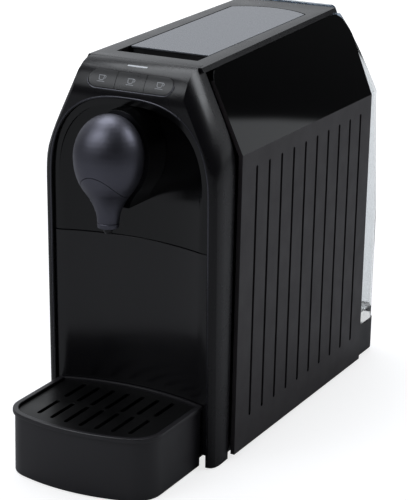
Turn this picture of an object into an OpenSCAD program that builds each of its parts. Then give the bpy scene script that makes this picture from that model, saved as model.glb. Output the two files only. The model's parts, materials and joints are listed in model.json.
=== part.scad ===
// Pod coffee machine: slim body with an arched front, a top lever, a slide-out
// drawer and a clear water tank at the back.
// +Z up, the front faces -Y, origin on the table under the middle of the machine.

/* [Body] */
// Overall width across the two side panels
body_w = 138; // [124:0.5:156]
// Length of the side panels, front edge to rear edge
body_d = 216; // [196:1:250]
// How far the front frame stands ahead of the side panels
frame_reach = 31.5; // [28:0.5:40]
// How far the drip tray stands ahead of the front frame
tray_reach = 72.5; // [60:0.5:95]
// How far the tank and base stand behind the side panels
tank_reach = 46; // [38:0.5:50]
// Height of the fold where the side panels start to lean in
fold_h = 214; // [200:1:224]
// Height of the deck at its front
deck_h = 271; // [262:0.5:282]
// Rise of the deck per millimetre towards the back
deck_slope = 0.03; // [0:0.005:0.05]
// Width between the two side panels at the deck's front
deck_w = 82.4; // [76:0.5:92]
// Height of the rubber feet
foot_h = 3.5; // [2.5:0.5:6]

/* [Side panels] */
// Thickness of the side panels
panel_t = 3; // [2.2:0.1:4]
// Number of vertical grooves in each side panel
groove_count = 10; // [4:1:10]
// Distance from one groove to the next
groove_pitch = 19.35; // [12:0.05:20]
// Width of a groove
groove_w = 3; // [1.5:0.1:4]
// Depth of a groove
groove_t = 1.6; // [0.6:0.1:1.8]
// Distance from the panel's front edge to the first groove
groove_first = 22; // [12:0.5:30]
// Flat border under and over the grooves
groove_border = 22; // [12:0.5:30]
// Gap between the front frame and the side panels
channel_w = 3; // [2:0.1:5]

/* [Front frame] */
// Wall of the front frame and the deck
frame_wall = 2.6; // [2:0.1:3]
// Radius that rounds the frame over from its face to the deck
brow_r = 24; // [21:0.5:26]
// Forward lean of the frame in degrees
frame_lean = 2; // [0:0.1:4]
// Half width of the arch opening
arch_half_w = 58.5; // [52:0.5:60]
// Drop from the deck's front to the top of the arch opening
arch_drop = 22; // [19:0.5:31]
// Height at which the arch starts to curve
arch_spring = 185; // [150:1:200]
// Width of the rim that faces forward inside the arch
rim_w = 4.5; // [3:0.1:7]
// Depth of the concave back of the recess below the frame's face
recess_sag = 12; // [8:0.5:16]
// Length of the finger recess in front of the lever
finger_len = 18.4; // [14:0.2:24]
// Depth of the finger recess
finger_depth = 13; // [9:0.5:15]

/* [Lever] */
// Width of the lever plate
lever_w = 59.2; // [50:0.2:64]
// Length of the lever plate to its rear corners
lever_len = 150.2; // [135:0.2:160]
// How far the plate's rear edge curves out behind its corners
lever_bow = 10.5; // [6:0.5:14]
// Thickness of the glossy plate
lever_plate_t = 1.4; // [1:0.1:2]
// Gap round the lever plate
lever_gap = 0.9; // [0.6:0.1:1.2]
// Radius of the hinge pin
lever_pin_r = 2; // [1.4:0.1:2.2]

/* [Spout] */
// Radius of the spout cover at its widest
dome_r = 23; // [20:0.5:26]
// Drop from the arch's top to the spout cover's widest place
dome_drop = 33; // [30:0.5:38]
// Height of the cover above its widest place
dome_up = 27.8; // [24:0.2:29]
// Height of the cover's egg shape below its widest place
dome_down = 31; // [28:0.2:34]
// Distance of the spout's axis ahead of the side panels
spout_out = 54.3; // [50:0.5:60]
// Radius of the funnel at its lower end
funnel_r = 7.3; // [6:0.1:9]
// Length of the spout below the cover's widest place
funnel_len = 47.2; // [44:0.2:52]
// Radius of the arched seam between cover and funnel
seam_r = 19.5; // [18:0.5:24]
// Slant of that seam, down towards the back, in degrees
seam_slant = 22.6; // [10:0.2:26]
// Outer radius of the coffee outlet
outlet_r = 3; // [2.6:0.1:4.4]
// Bore radius of the coffee outlet
outlet_bore_r = 1.8; // [1.2:0.1:2.2]

/* [Drawer] */
// Width of the drip tray
tray_w = 108; // [90:0.5:112]
// Height of the drip tray's rim
tray_h = 45; // [36:0.5:60]
// Wall of the drip tray
tray_wall = 2.4; // [1.8:0.1:3.2]
// Radius of the tray's broad front curve
tray_front_r = 132; // [100:1:200]
// Radius of the tray's front corners
tray_corner_r = 20; // [12:0.5:26]
// Height of the seam over the drawer front
seam_h = 152; // [140:0.5:158]
// Thickness of the cup grid
grid_t = 3; // [2:0.1:4]
// Drop from the tray's rim to the cup grid
grid_drop = 2; // [1:0.1:4]
// Width of a slot in the cup grid
slot_w = 3; // [2:0.1:5]
// Distance between slots in the cup grid
slot_pitch = 11.5; // [9:0.1:16]
// Gap from the chassis wall to the side of the used-capsule bin
bin_gap = 10.3; // [9.8:0.1:18]
// Length of the used-capsule bin
bin_d = 92; // [70:1:96]
// Height of the used-capsule bin
bin_h = 125; // [90:1:130]
// Wall of the used-capsule bin
bin_wall = 1.8; // [1.2:0.1:2.6]

/* [Buttons] */
// Length of the row of three keys
keys_len = 62; // [54:0.5:70]
// Height of the row of keys along the brow
keys_h = 12.4; // [10:0.1:13]
// Angle of the keys above level, round the brow
keys_angle = 36; // [34:1:38]
// Distance between the middles of the keys
keys_pitch = 21.5; // [18:0.1:23]
// Gap round the keys
key_gap = 0.25; // [0.2:0.05:0.4]
// Travel of a key
key_travel = 0.8; // [0.4:0.1:1]
// Length of the status light
light_len = 14.5; // [10:0.5:24]
// Width of the status light
light_w = 1.6; // [1:0.1:3]
// Angle of the status light above level, round the brow
light_angle = 66; // [63:1:69]

/* [Tank] */
// Height of the base that the tank stands on
dock_h = 28; // [25:0.5:36]
// Wall of the water tank
tank_wall = 2.2; // [1.6:0.1:3]
// Thickness of the tank's floor
tank_floor = 9; // [7:0.5:12]
// Height of the tank lid
lid_h = 25; // [20:0.5:30]
// Height of the tank lid's top above the deck's front
tank_rise = 8; // [6:0.5:12]
// Radius of the tank valve's bore
valve_r = 4; // [3:0.1:5]

/* [Works] */
// Radius of the brew piston
piston_r = 18; // [15:0.5:20]
// Drop from the deck's front to the brew piston's axis
brew_drop = 66; // [63:0.5:70]
// Gear module of the lever drive
gear_m = 1.2; // [1.2:0.05:1.3]
// Radius of the pump body
pump_r = 17; // [14:0.5:20]
// Thickness of the chassis walls
chassis_t = 2.2; // [1.8:0.1:3]

/* [Hidden] */
$fn = 64;

seat = 0.3;             // gap between pieces that rest beside each other
run_fit = 0.05;         // radial clearance of a turning or sliding fit
far = 400;              // longer than the machine, for cuts

// heights that follow the deck's
arch_top = deck_h - arch_drop;
dome_z = arch_top - dome_drop;
funnel_z = dome_z - funnel_len;
brew_z = deck_h - brew_drop;
duct_z = brew_z - 15;
tank_top = deck_h + tank_rise;
tank_split = tank_top - lid_h;

// places along Y
total_d = tray_reach + frame_reach + body_d + tank_reach;
tray_front_y = -total_d / 2;
frame_front_y = tray_front_y + tray_reach;
panel_front_y = frame_front_y + frame_reach;
panel_rear_y = panel_front_y + body_d;
rear_y = total_d / 2;
frame_rear_y = panel_front_y - channel_w;
spout_y = panel_front_y - spout_out;
lever_front_y = panel_front_y + 25.8;
lever_corner_y = lever_front_y + lever_len;
lever_rear_y = lever_corner_y + lever_bow;
finger_y = lever_front_y - finger_len;
lean_y = frame_front_y + (arch_top + 3) * sin(frame_lean);    // the frame's face at the table

// outline of the body across the machine
taper_a = atan((body_w - deck_w) / 2 / (deck_h + 1.7 - fold_h));
function fold_in(d) = fold_h - d * tan(taper_a / 2);
function half_w(z, d) = z <= fold_in(d) ? body_w / 2 - d
    : body_w / 2 - d - (z - fold_in(d)) * tan(taper_a);
function deck_z(y) = deck_h + (y - finger_y) * deck_slope;

// helpers: arcs as points, and extrusions along X and Y
function arc(cx, cy, r, a0, a1, n) =
    [for (i = [0 : n]) [cx + r * cos(a0 + (a1 - a0) * i / n), cy + r * sin(a0 + (a1 - a0) * i / n)]];
module along_x(x0, x1) translate([x0, 0, 0]) rotate([90, 0, 90]) linear_extrude(x1 - x0) children();
module along_y(y0, y1) translate([0, y1, 0]) rotate([90, 0, 0]) linear_extrude(y1 - y0) children();
module rod_y(r, y0, y1) translate([0, y0, 0]) rotate([-90, 0, 0]) cylinder(r = r, h = y1 - y0);
module rod_x(r, x0, x1) translate([x0, 0, 0]) rotate([0, 90, 0]) cylinder(r = r, h = x1 - x0);
module box(x0, x1, y0, y1, z0, z1) translate([x0, y0, z0]) cube([x1 - x0, y1 - y0, z1 - z0]);
module both_sides() { children(); mirror([1, 0, 0]) children(); }
module round_rect(w, d, r) {
    square([w - 2 * r, d], center = true);
    square([w, d - 2 * r], center = true);
    for (sx = [-1, 1], sy = [-1, 1]) translate([sx * (w / 2 - r), sy * (d / 2 - r)]) circle(r);
}
module body_section(d, z0, z1) polygon([
    [-half_w(z0, d), z0], [half_w(z0, d), z0], [half_w(fold_in(d), d), fold_in(d)],
    [half_w(z1, d), z1], [-half_w(z1, d), z1], [-half_w(fold_in(d), d), fold_in(d)]]);

// ---- chassis, base and covers ----
chassis_gap = panel_t + 3.5;                   // side panel's face to the chassis wall
chassis_front_y = frame_rear_y + seat;
chassis_rear_y = panel_rear_y - 7.5;
base_floor_z = foot_h + 2.4;
base_half_w = body_w / 2 - chassis_gap;
shelf_z = seam_h - 4;
shelf_t = 2.4;
insert_t = 2.6;                                // wall behind the concave face
bin_front_y = lean_y + recess_sag + insert_t + 1;
bay_rear_y = bin_front_y + bin_d + 3;          // rear end of the drawer bay
sled_top = base_floor_z + seat + 2;
bin_w = 2 * (base_half_w - chassis_t - bin_gap);
hose_z = foot_h + 9;
seal_z = foot_h + 12.5;
cover_t = 2;
cover_rear_y = chassis_rear_y + cover_t;
drop_y0 = finger_y + 18;                       // capsule drop through the shelf
drop_y1 = drop_y0 + 50;
drop_half_w = 23;
rail_h = 3.2;                                  // height of the deck's side rails
deck_rear_y = cover_rear_y - 1;
dock_half_w = body_w / 2 - panel_t - seat;
dock_corner_r = 14;
dock_front_y = cover_rear_y + 0.1;
dock_y = rear_y - 18;                          // axis of the tank valve
hose_r = 3.5;
switch_x = 38;
switch_w = 20;
switch_hh = 12;
switch_z = (foot_h + dock_h) / 2;
gland_r = 5;
screw_r = 1.5;
screw_x = base_half_w - 5.6;
boss_r = 3.2;
screw_y = [panel_front_y + 14, bay_rear_y + 8, chassis_rear_y - 10];

module dock_plan(inset) intersection() {
    translate([-dock_half_w + inset, dock_front_y + inset]) square([2 * (dock_half_w - inset), far]);
    translate([0, rear_y - inset - 530]) circle(530, $fn = 256);
    union() {
        translate([-far / 2, -far]) square([far, far + rear_y - 4 - dock_corner_r]);
        translate([-dock_half_w + inset + dock_corner_r, 0])
            square([2 * (dock_half_w - inset - dock_corner_r), far]);
        for (sx = [-1, 1])
            translate([sx * (dock_half_w - inset - dock_corner_r), rear_y - 4 - dock_corner_r])
            circle(dock_corner_r);
    }
}

module base_pan() color([0.13, 0.13, 0.14]) difference() {
    union() {
        box(-base_half_w, base_half_w, chassis_front_y, cover_rear_y + 1, foot_h, base_floor_z);
        difference() {
            translate([0, 0, foot_h]) linear_extrude(dock_h - foot_h) dock_plan(0);
            translate([0, 0, foot_h + 2.4]) linear_extrude(dock_h - foot_h - 5) dock_plan(2.4);
        }
        // socket of the tank valve, and the frames of switch and cord gland
        translate([0, dock_y, foot_h]) cylinder(r = valve_r + 5, h = dock_h - foot_h);
    }
    translate([0, dock_y, foot_h + 4]) cylinder(r = valve_r, h = far);
    translate([0, dock_y, seal_z]) cylinder(r = valve_r + 2.2, h = far);
    translate([0, 0, hose_z]) rod_y(hose_r + 0.1, dock_front_y - 1, dock_y);
    box(-switch_x - switch_w / 2, -switch_x + switch_w / 2, rear_y - 12, far, switch_z - switch_hh / 2,
        switch_z + switch_hh / 2);
    translate([switch_x, 0, switch_z]) rod_y(gland_r, rear_y - 14, far);
    for (sx = [-1, 1], y = screw_y) translate([sx * screw_x, y, 0]) cylinder(r = screw_r + 0.2, h = far);
}

module rubber_feet() color([0.08, 0.08, 0.08])
    for (sx = [-1, 1], y = [chassis_front_y + 22, cover_rear_y + 8])
        translate([sx * (base_half_w - 24), y, 0]) cylinder(r = 8, h = foot_h);

module base_screws() color([0.7, 0.7, 0.72])
    for (sx = [-1, 1], y = screw_y) translate([sx * screw_x, y, foot_h]) {
        cylinder(r = screw_r, h = 11);
        translate([0, 0, -1.6]) cylinder(r = 3, h = 1.6);
    }

module chassis() color([0.05, 0.05, 0.055]) difference() {
    union() {
        difference() {
            along_y(chassis_front_y, chassis_rear_y)
                body_section(chassis_gap, base_floor_z, deck_h - 8);
            along_y(chassis_front_y - 1, chassis_rear_y + 1)
                body_section(chassis_gap + chassis_t, base_floor_z - 1, deck_h + 8);
        }
        inner_x = base_half_w - chassis_t;
        box(-inner_x - 1, inner_x + 1, chassis_front_y, chassis_rear_y, shelf_z, shelf_z + shelf_t);
        box(-inner_x - 1, inner_x + 1, bay_rear_y, bay_rear_y + 2, base_floor_z, shelf_z + 1);
        for (sx = [-1, 1], y = screw_y) translate([sx * screw_x, y, base_floor_z]) {
            cylinder(r = boss_r, h = 10);
            box(sx > 0 ? 0 : screw_x - base_half_w + 1,
                sx > 0 ? base_half_w - screw_x - 1 : 0, -1.5, 1.5, 0, 10);
        }
    }
    box(-drop_half_w, drop_half_w, drop_y0, drop_y1, shelf_z - 1, shelf_z + shelf_t + 1);
    translate([pump_x + 8, riser_y, shelf_z - 1]) cylinder(r = hose_r + 1, h = shelf_t + 2);
    for (sx = [-1, 1], y = screw_y)
        translate([sx * screw_x, y, base_floor_z - 1]) cylinder(r = screw_r, h = 10);
}

module rear_cover() color([0.13, 0.13, 0.14]) difference() {
    along_y(chassis_rear_y, cover_rear_y)
        body_section(chassis_gap, base_floor_z, deck_z(deck_rear_y) - rail_h - 0.2);
    for (i = [0 : 6]) box(-18, 18, chassis_rear_y - 1, far, fold_h - 34 + 6 * i, fold_h - 31.4 + 6 * i);
    box(-16, 16, chassis_rear_y - 1, far, foot_h, dock_h + 3);
}

// ---- side panels ----
panel_top_drop = rail_h + 0.3;
function panel_top(y) = deck_z(y) - panel_top_drop;
panel_bulge = 5.5;
module panel_profile() {
    fr = 9;
    rr = 20;
    fy = panel_front_y + fr;
    ry = panel_rear_y + panel_bulge - rr;
    polygon(concat([[panel_front_y, foot_h + 0.5], [panel_rear_y, foot_h + 0.5], [panel_rear_y, fold_h]],
        arc(ry, panel_top(ry) - rr, rr, 4, 88, 10),
        arc(fy, panel_top(fy) - fr, fr, 92, 180, 6)));
}
module side_panel() {
    difference() {
        intersection() {
            along_y(panel_front_y - 1, rear_y) difference() {
                body_section(0, foot_h, deck_h + 14);
                body_section(panel_t, 0, deck_h + 15);
                translate([-far, 0]) square([far, far]);
            }
            along_x(0, body_w) panel_profile();
        }
        for (i = [0 : groove_count - 1]) {
            y = panel_front_y + groove_first + groove_pitch * i;
            z0 = foot_h + groove_border + groove_w / 2;
            z1 = fold_h - groove_border / 2 - groove_w / 2;
            along_x(body_w / 2 - groove_t, body_w / 2 + 1) {
                translate([y - groove_w / 2, z0]) square([groove_w, z1 - z0]);
                translate([y, z0]) circle(groove_w / 2, $fn = 24);
                translate([y, z1]) circle(groove_w / 2, $fn = 24);
            }
        }
    }
    // standoffs that carry the panel on the chassis
    for (y = [panel_front_y + 12, panel_rear_y - 20], z = [40, fold_h - 34])
        translate([0, y, z]) rod_x(4, base_half_w, body_w / 2 - panel_t + 0.5);
}
module side_panel_right() color([0.2, 0.19, 0.19]) side_panel();
module side_panel_left() color([0.2, 0.19, 0.19]) mirror([1, 0, 0]) side_panel();

// ---- front frame and deck, in a frame that leans forward ----
module leaned() translate([0, lean_y, 0]) rotate([frame_lean, 0, 0]) children();
frame_half_w = body_w / 2 - 3.5;
frame_foot_z = 0.8;
brow_z = deck_h - brow_r - 1;                  // axis of the brow's rounding
arch_pow = 2.6;

// arch outline: half width hw, curved part of height h, flattened at top
function arch_points(hw, h, p, top, z0) = concat([[hw, z0]],
    [for (i = [0 : 14]) let (a = 90 * i / 14)
        [hw * pow(cos(a), 2 / p), min(top, arch_spring + h * pow(sin(a), 2 / p))]],
    [for (i = [14 : -1 : 0]) let (a = 90 * i / 14)
        [-hw * pow(cos(a), 2 / p), min(top, arch_spring + h * pow(sin(a), 2 / p))]],
    [[-hw, z0]]);
module arch(inset, z0) polygon(arch_points(arch_half_w - inset, arch_top - arch_spring - inset,
    arch_pow, arch_top - inset, z0));

// slices of the frame's skin: depth, inset of the sides, inset of the slopes
skin = [[1, 2.7, 6.6], [3.2, 1.1, 4.4], [7, 0.2, 2.4], [12.5, 0, 1], [18, 0, 0.2], [brow_r + 0.6, 0, 0]];
slope_gap = 2.4;                               // slopes behind the side panels' faces
function brow_top(y, r) = brow_z + (y >= brow_r ? r : sqrt(max(0, r * r - pow(brow_r - y, 2))));
function slope_x(z, d) = body_w / 2 - d / cos(taper_a) - (z - fold_h) * tan(taper_a);
function soft_min(a, b) = -ln(exp(-0.4 * a) + exp(-0.4 * b)) / 0.4;
function skin_x(z, side, slope) = soft_min(frame_half_w - side, slope_x(z, slope_gap + slope));
function skin_points(side, slope, top, z0) = concat(
    [[skin_x(z0, side, slope), z0]],
    [for (i = [0 : 12]) let (z = arch_spring + (top - arch_spring) * i / 12) [skin_x(z, side, slope), z]],
    [for (i = [12 : -1 : 0]) let (z = arch_spring + (top - arch_spring) * i / 12)
        [-skin_x(z, side, slope), z]],
    [[-skin_x(z0, side, slope), z0]]);
module sheet_at(y) translate([0, y + 0.02, 0]) rotate([90, 0, 0]) linear_extrude(0.02) children();
module skin_slice(s, wall, z0) sheet_at(s[0])
    polygon(skin_points(s[1] + wall, s[2] + wall, brow_top(s[0], brow_r - wall), z0));

module frame_skin() leaned() difference() {
    hull() {
        sheet_at(0) polygon(arch_points(arch_half_w + 2, arch_top + 2.5 - arch_spring, arch_pow,
            arch_top + 2.5, frame_foot_z));
        for (s = skin) skin_slice(s, 0, frame_foot_z);
        skin_slice([frame_reach + 6, 0, 0], 0, frame_foot_z);
    }
    hull() {
        for (i = [1 : 5]) skin_slice(skin[i] + [frame_wall * 0.6, 0, 0], frame_wall, -1);
        skin_slice([frame_reach + 7, 0, 0], frame_wall, -1);
    }
    along_y(-10, far) arch(0, -1);
    intersection() {
        translate([0, brow_r, brow_z]) rod_x(brow_r - frame_wall, -keys_len / 2 - 8, keys_len / 2 + 8);
        box(-far, far, -far, far, arch_top + 2, far);
    }
    key_row(key_gap);
    translate([0, brow_r, brow_z]) rotate([-light_angle, 0, 0])
        box(-light_len / 2, light_len / 2, -far, 0, -light_w / 2, light_w / 2);
}

// plan outline of the lever plate, and the same with a gap round it
module lever_plan(gap) {
    hw = lever_w / 2 + gap;
    bow_r = (pow(lever_w / 2, 2) + pow(lever_bow, 2)) / 2 / lever_bow;
    translate([-hw, lever_front_y]) square([2 * hw, lever_len]);
    intersection() {
        translate([-hw, lever_front_y + 1]) square([2 * hw, far]);
        translate([0, lever_rear_y - bow_r]) circle(bow_r + gap, $fn = 128);
        translate([-hw, lever_corner_y - 5]) square([2 * hw, far]);
    }
}
module deck_opening() {
    lever_plan(lever_gap);
    translate([-lever_w / 2 - lever_gap, finger_y]) square([lever_w + 2 * lever_gap, finger_len + 1]);
}
module deck_band(y0, y1, top, bottom) intersection() {
    along_y(y0, y1) body_section(0, fold_h, deck_h + 20);
    along_x(-far / 2, far / 2) polygon([[y0, deck_z(y0) - bottom], [y1, deck_z(y1) - bottom],
        [y1, deck_z(y1) - top], [y0, deck_z(y0) - top]]);
}
module front_frame() color([0.13, 0.125, 0.135]) {
    difference() {
        union() {
            intersection() {
                frame_skin();
                box(-far / 2, far / 2, -far, frame_rear_y, frame_foot_z, far);
            }
            difference() {
                deck_band(frame_rear_y - 6, deck_rear_y, 0, rail_h);
                translate([0, 0, -1]) linear_extrude(far) deck_opening();
            }
            // finger recess: a tub that is open towards the lever
            difference() {
                box(-lever_w / 2 - 3, lever_w / 2 + 3, finger_y - 2, lever_front_y + 4,
                    deck_h - finger_depth - 2, deck_h - 1);
                box(-lever_w / 2 - lever_gap, lever_w / 2 + lever_gap, finger_y, far,
                    deck_h - finger_depth, far);
            }
        }
        // the lever plate's opening stays clear where skin and deck meet
        translate([0, 0, deck_h - finger_depth]) linear_extrude(far) deck_opening();
    }
}

// concave back of the recess, shared by recess panel and drawer front
rim_set = 2.5;                                 // rim behind the frame's face
hollow_half_w = arch_half_w - rim_w;
hollow_r = (pow(hollow_half_w, 2) + pow(recess_sag - rim_set, 2)) / 2 / (recess_sag - rim_set);
module hollow_cyl(extra) translate([0, recess_sag - hollow_r, -20])
    cylinder(r = hollow_r + extra, h = far, $fn = 360);

module recess_panel() color([0.03, 0.03, 0.035]) leaned() difference() {
    intersection() {
        along_y(rim_set, recess_sag + insert_t) arch(seat, seam_h + 0.2);
        union() {
            hollow_cyl(insert_t);
            along_y(rim_set, recess_sag) difference() {
                arch(seat, seam_h);
                arch(rim_w, seam_h - 1);
            }
        }
    }
    intersection() {
        along_y(-1, recess_sag + 0.01) arch(rim_w, seam_h - 10);
        hollow_cyl(0);
    }
    translate([0, 0, duct_z + 0.4]) rod_y(duct_r + 0.8, 0, far);
}

module drawer_front() color([0.14, 0.14, 0.15]) leaned() difference() {
    intersection() {
        along_y(rim_set, recess_sag + insert_t)
            polygon([[-arch_half_w + seat, sled_top], [arch_half_w - seat, sled_top],
                [arch_half_w - seat, seam_h - 0.3], [-arch_half_w + seat, seam_h - 0.3]]);
        union() {
            hollow_cyl(insert_t);
            both_sides() box(hollow_half_w, arch_half_w, rim_set, recess_sag, 0, far);
        }
    }
    intersection() {
        box(-hollow_half_w, hollow_half_w, -1, recess_sag + 0.01, -10, far);
        hollow_cyl(0);
    }
}

// ---- spout ----
duct_r = 4.5;
collar_y = spout_y + 11;
wall_y = lean_y + recess_sag - dome_z * sin(frame_lean);      // recess back at the dome
// spout profile: an egg over a flared neck with a lip, as radius and height
neck_z = dome_z - 22;
lip_h = 4.2;
neck_r = (dome_r - 1) * sqrt(1 - pow((dome_z - neck_z) / dome_down, 2)) + 1;
function dome_profile(d) = concat([[0, dome_z + dome_up - d]],
    [for (i = [1 : 12]) let (a = 90 - 90 * i / 12)
        [(dome_r - d) * cos(a), dome_z + (dome_up - d) * sin(a)]],
    [for (i = [1 : 5]) let (z = dome_z - (dome_z - neck_z) * i / 5)
        [(dome_r - 1) * sqrt(1 - pow((dome_z - z) / dome_down, 2)) + 1 - d, z]],
    [for (i = [1 : 8]) let (t = i / 8)
        [funnel_r - d + (neck_r - funnel_r) * pow(1 - t, 1.85), neck_z + (funnel_z + lip_h - neck_z) * t]],
    [[funnel_r - d - 0.4, funnel_z + lip_h - 0.3], [funnel_r - d - 0.4, funnel_z + lip_h - 0.8],
     [funnel_r - d, funnel_z + lip_h - 1.1], [funnel_r - d - 0.3, funnel_z + 0.4],
     [funnel_r - d - 0.9, funnel_z], [0, funnel_z]]);
module dome_solid(d) translate([0, spout_y, 0]) rotate_extrude($fn = 96) polygon(dome_profile(d));
module seam_form(gap) // arched and slanted, over the whole funnel
    translate([0, spout_y, dome_z - 18.4 - seam_r / cos(seam_slant)]) rotate([-seam_slant, 0, 0])
        rod_y(seam_r - gap, -dome_r * 2, dome_r * 2);
module duct_space() translate([0, 0, duct_z]) rod_y(duct_r + 0.2, spout_y - 6, far);
module spout_cover() color([0.2, 0.21, 0.24]) difference() {
    dome_solid(0);
    dome_solid(2.4);
    seam_form(0);
    duct_space();
    box(-far, far, collar_y, far, 0, far);
}
module spout_funnel() color([0.19, 0.2, 0.23]) difference() {
    intersection() {
        dome_solid(0);
        seam_form(0.35);
    }
    difference() {
        dome_solid(2.4);
        box(-far, far, -far, far, 0, funnel_z + 2);
    }
    translate([0, spout_y, 0]) cylinder(r = outlet_r + 0.15, h = dome_z);
    duct_space();
    box(-far, far, collar_y, far, 0, far);
}
// pear outline across the machine, d outside the spout's own, cut off level at low
collar_low = duct_z - 10;
module collar_form(d, low, y0, y1)
    let (half = dome_profile(-d), n = len(half)) along_y(y0, y1)
    intersection() {
        polygon(concat(half, [for (i = [n - 2 : -1 : 1]) [-half[i][0], half[i][1]]]));
        translate([-far / 2, low]) square([far, far]);
    }
module spout_collar() color([0.03, 0.03, 0.035]) difference() {
    collar_form(0.4, collar_low, collar_y + seat, wall_y + 2);
    collar_form(-2, collar_low + 2, collar_y + seat + 2, wall_y + 11);
    duct_space();
    leaned() translate([0, 0, duct_z - 30]) linear_extrude(dome_z + dome_r + 40 - duct_z) difference() {
        translate([-dome_r - 5, 0]) square([2 * dome_r + 10, recess_sag + 20]);
        translate([0, recess_sag - hollow_r]) circle(hollow_r - seat, $fn = 360);
    }
}
module coffee_outlet() color([0.1, 0.1, 0.1]) difference() {
    union() {
        translate([0, 0, duct_z]) rod_y(duct_r, spout_y - 4, brew_front_y - 2.2);
        translate([0, spout_y, funnel_z - 2.6]) cylinder(r = outlet_r, h = duct_z - funnel_z + 2.6);
        translate([0, spout_y, funnel_z - 4]) cylinder(r1 = outlet_bore_r + 0.4, r2 = outlet_r, h = 1.4);
    }
    translate([0, 0, duct_z]) rod_y(duct_r - 1.5, spout_y, far);
    translate([0, spout_y, 0]) cylinder(r = outlet_bore_r, h = duct_z);
}

// ---- keys, icons, light and the board behind them ----
key_t = 2;
module at_keys() translate([0, brow_r, brow_z]) rotate([-keys_angle, 0, 0]) children();
module brow_shell(r0, r1, hw) translate([0, brow_r, brow_z]) difference() {
    rod_x(r1, -hw, hw);
    rod_x(r0, -hw - 1, hw + 1);
}
module stadium(len, h) {
    square([len - h, h], center = true);
    for (sx = [-1, 1]) translate([sx * (len - h) / 2, 0]) circle(h / 2);
}
module key_row(gap) at_keys() along_y(-brow_r - 3, -4) stadium(keys_len + 2 * gap, keys_h + 2 * gap);
module key(i) leaned() difference() {
    union() {
        intersection() {
            brow_shell(brow_r - key_t, brow_r, keys_len);
            at_keys() along_y(-brow_r - 3, -4) intersection() {
                stadium(keys_len, keys_h);
                translate([i * keys_pitch - (i < 0 ? far : key_split), -keys_h])
                    square([i == 0 ? 2 * key_split : far + key_split, 2 * keys_h]);
            }
        }
        at_keys() translate([i * keys_pitch, 0, 0])
            rod_y(2, -brow_r + key_t - 0.6, -brow_r + key_t + stem_len);
    }
    icon_solid(i, 0.3);
}
key_split = keys_pitch / 2 - 0.15;
stem_len = 3.2;
module cup_sign() {
    s = 0.42;                                  // line width of the sign
    difference() {
        polygon([[-2.3, 2], [2.1, 2], [1.7, -1.1], [0.9, -1.7], [-1.1, -1.7], [-1.9, -1.1]]);
        polygon([[-2.3 + s, 2 - s], [2.1 - s, 2 - s], [1.7 - s, -1 + s / 2], [0.8, -1.7 + s],
            [-1, -1.7 + s], [-1.9 + s, -1 + s / 2]]);
    }
    difference() {
        translate([2.2, 0.7]) circle(1.1, $fn = 24);
        translate([2.2, 0.7]) circle(1.1 - s, $fn = 24);
        translate([-1, -2]) square([3, 5]);
    }
    translate([-2.9, -2.7]) square([5.6, s]);
}
module icon_solid(i, t) intersection() {
    brow_shell(brow_r - t, brow_r + 0.001, keys_len);
    at_keys() translate([i * keys_pitch, 0, 0]) along_y(-brow_r - 3, -6) cup_sign();
}
module icon(i) color([0.6, 0.61, 0.63]) leaned() icon_solid(i, 0.3);
module button_small() color([0.06, 0.06, 0.065]) key(-1);
module button_medium() color([0.06, 0.06, 0.065]) key(0);
module button_large() color([0.06, 0.06, 0.065]) key(1);
module icon_small() icon(-1);
module icon_medium() icon(0);
module icon_large() icon(1);
module status_light() color([0.75, 0.77, 0.8]) leaned() intersection() {
    brow_shell(brow_r - frame_wall - 2, brow_r, light_len);
    translate([0, brow_r, brow_z]) rotate([-light_angle, 0, 0])
        box(-light_len / 2 + 0.1, light_len / 2 - 0.1, -far, 0, -light_w / 2 + 0.1, light_w / 2 - 0.1);
}
bracket_r = brow_r - frame_wall - 0.8;         // outer radius of the button bracket
board_in = brow_r - key_t - stem_len - 3.8;    // board face to the brow's axis
module button_bracket() color([0.3, 0.3, 0.32]) leaned() difference() {
    union() {
        intersection() {
            brow_shell(bracket_r - 1.6, bracket_r, keys_len / 2 + 3);
            at_keys() box(-far, far, -far, 0, -keys_h / 2 - 0.8, keys_h / 2 + 3);
        }
        both_sides() at_keys() box(keys_len / 2 + 1.4, keys_len / 2 + 3, -bracket_r + 1, -board_in + 1,
            -6, 6);
    }
    key_row(1.2);
    translate([0, brow_r, brow_z]) rotate([-light_angle, 0, 0]) // room for the status light
        box(-light_len / 2 - 0.5, light_len / 2 + 0.5, -far, 0, -light_w / 2 - 0.5, light_w / 2 + 0.5);
}
module control_board() color([0.1, 0.35, 0.2]) leaned() at_keys()
    box(-keys_len / 2 - 1.3, keys_len / 2 + 1.3, -board_in, -board_in + 1.6, -5.6, 7);
module button_switches() color([0.25, 0.25, 0.27]) leaned() at_keys()
    for (i = [-1 : 1]) translate([i * keys_pitch, 0, 0]) {
        box(-3, 3, -board_in - 2.4, -board_in, -3, 3);
        rod_y(1.6, -board_in - 2.8, -board_in - 2);
    }

// ---- lever and its drive ----
pin_y = lever_rear_y + 10.5;
pin_z = deck_z(pin_y) - 8;
hub_r = lever_pin_r + 2.4;
teeth = 15;
idler_teeth = 11;
wheel_r = gear_m * teeth / 2;
idler_r = gear_m * idler_teeth / 2;
mesh_a = 230;                                  // direction from pin to drive gear
gear_y = pin_y + (wheel_r + idler_r) * cos(mesh_a);
gear_z = pin_z + (wheel_r + idler_r) * sin(mesh_a);
rack_z = gear_z - wheel_r;                     // pitch line of the rack
gear_hw = 4;
lever_open = 70;
rack_stroke = wheel_r * teeth / idler_teeth * lever_open * PI / 180;

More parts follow.
